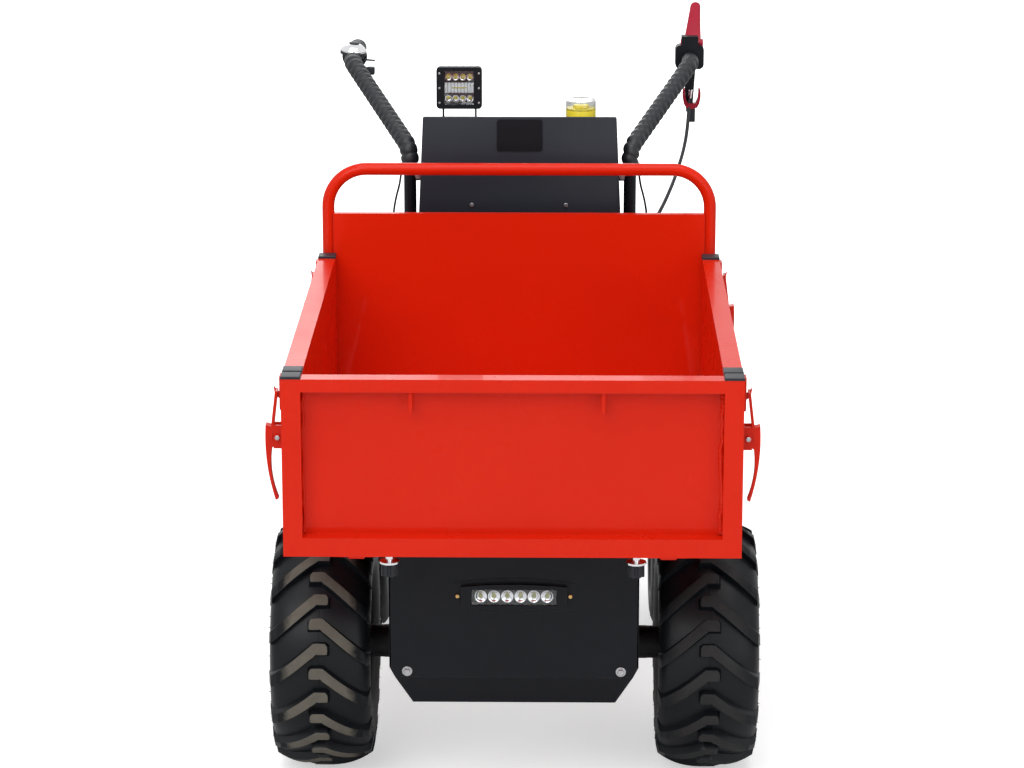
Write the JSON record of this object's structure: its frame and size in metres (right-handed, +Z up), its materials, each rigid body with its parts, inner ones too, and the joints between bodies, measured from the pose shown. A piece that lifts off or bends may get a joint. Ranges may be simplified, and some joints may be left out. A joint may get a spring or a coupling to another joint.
{
  "type": "walk-behind mini dumper",
  "caption": "Walk-behind site dumper with a forward-tipping drop-side tray, lugged drive wheels, swivel casters, rear console and raised handlebars.",
  "frame": {"origin": "on the floor, at the centre of the machine's plan outline", "axes": "+Z up, -Y towards the front gate, +X to the right of someone facing the front"},
  "size_m": [0.791, 1.3908, 1.126],
  "materials": {
    "red_paint": "gloss powder coat",
    "black_paint": "satin powder coat",
    "black_plastic": "moulded",
    "tyre_rubber": "moulded, dusty on the lugs",
    "rim_paint": "silver enamel",
    "soft_rubber": "ribbed",
    "chrome": "bright plated",
    "clear_lens": "clear moulded",
    "yellow_plastic": "moulded",
    "red_plastic": "moulded",
    "crimson_paint": "gloss",
    "axle_casting": "painted casting"
  },
  "bodies": {
    "chassis": {"chassis_rails": "black_paint", "chassis_members": "black_paint", "caster_outriggers": "black_paint", "axle_hangers": "black_paint", "rest_pads": "soft_rubber", "front_cover": "black_paint", "light_bar": "black_plastic", "light_bar_lens": "clear_lens", "battery_case": "black_paint", "drive_axle": "axle_casting", "drive_motor": "axle_casting", "console": "black_paint", "console_plate": "black_plastic", "work_lamp": "black_plastic", "work_lamp_lens": "clear_lens", "lamp_bracket": "black_paint", "stop_switch": "yellow_plastic", "stop_switch_cover": "clear_lens", "handle_left": "black_paint", "handle_right": "black_paint", "grip_left": "soft_rubber", "grip_right": "soft_rubber", "sleeve_left": "soft_rubber", "sleeve_right": "soft_rubber", "switch_lead_left": "soft_rubber", "switch_lead_right": "soft_rubber", "stop_button": "red_plastic", "tray_catch": "black_paint", "lever_clamp": "black_paint", "release_lever": "crimson_paint", "release_cable": "soft_rubber", "bell_base": "black_plastic", "bell_dome": "chrome"},
    "tray": {"tray_floor": "red_paint", "tray_long_rails": "red_paint", "tray_cross_rails": "red_paint", "tray_hinges": "red_paint", "tray_pivot_lugs": "red_paint", "tray_striker": "red_paint", "headboard": "red_paint", "hand_screws": "chrome", "screw_knobs": "black_plastic"},
    "gate": {"front_gate": "red_paint", "gate_caps": "black_plastic"},
    "side_left": {"side_left": "red_paint", "side_caps_left": "black_plastic", "latches_left": "red_paint"},
    "side_right": {"side_right": "red_paint", "side_caps_right": "black_plastic", "latches_right": "red_paint"},
    "drive_wheel_left": {"drive_tyre_left": "tyre_rubber", "drive_rim_left": "rim_paint"},
    "drive_wheel_right": {"drive_tyre_right": "tyre_rubber", "drive_rim_right": "rim_paint"},
    "caster_left": {"caster_fork_left": "black_paint"},
    "caster_right": {"caster_fork_right": "black_paint"},
    "caster_wheel_left": {"caster_tyre_left": "tyre_rubber", "caster_rim_left": "rim_paint"},
    "caster_wheel_right": {"caster_tyre_right": "tyre_rubber", "caster_rim_right": "rim_paint"}
  },
  "joints": [
    {"name": "tray_tip", "type": "hinge", "parent": "chassis", "child": "tray", "pos_m": [0, -0.4846, 0.452], "axis": [1, 0, 0], "range_deg": [0, 60]},
    {"name": "gate_drop", "type": "hinge", "parent": "tray", "child": "gate", "pos_m": [0, -0.6596, 0.468], "axis": [1, 0, 0], "range_deg": [0, 90]},
    {"name": "side_drop_left", "type": "hinge", "parent": "tray", "child": "side_left", "pos_m": [-0.3095, -0.2606, 0.468], "axis": [0, -1, 0], "range_deg": [0, 90]},
    {"name": "side_drop_right", "type": "hinge", "parent": "tray", "child": "side_right", "pos_m": [0.3095, -0.2606, 0.468], "axis": [0, 1, 0], "range_deg": [0, 90]},
    {"name": "drive_spin_left", "type": "hinge", "parent": "chassis", "child": "drive_wheel_left", "pos_m": [-0.31, -0.3026, 0.203], "axis": [1, 0, 0], "continuous": true},
    {"name": "caster_swivel_left", "type": "hinge", "parent": "chassis", "child": "caster_left", "pos_m": [-0.296, 0.3094, 0.375], "axis": [0, 0, 1], "continuous": true},
    {"name": "caster_spin_left", "type": "hinge", "parent": "caster_left", "child": "caster_wheel_left", "pos_m": [-0.296, 0.3694, 0.165], "axis": [1, 0, 0], "continuous": true},
    {"name": "drive_spin_right", "type": "hinge", "parent": "chassis", "child": "drive_wheel_right", "pos_m": [0.31, -0.3026, 0.203], "axis": [1, 0, 0], "continuous": true},
    {"name": "caster_swivel_right", "type": "hinge", "parent": "chassis", "child": "caster_right", "pos_m": [0.296, 0.3094, 0.375], "axis": [0, 0, 1], "continuous": true},
    {"name": "caster_spin_right", "type": "hinge", "parent": "caster_right", "child": "caster_wheel_right", "pos_m": [0.296, 0.3694, 0.165], "axis": [1, 0, 0], "continuous": true}
  ]
}
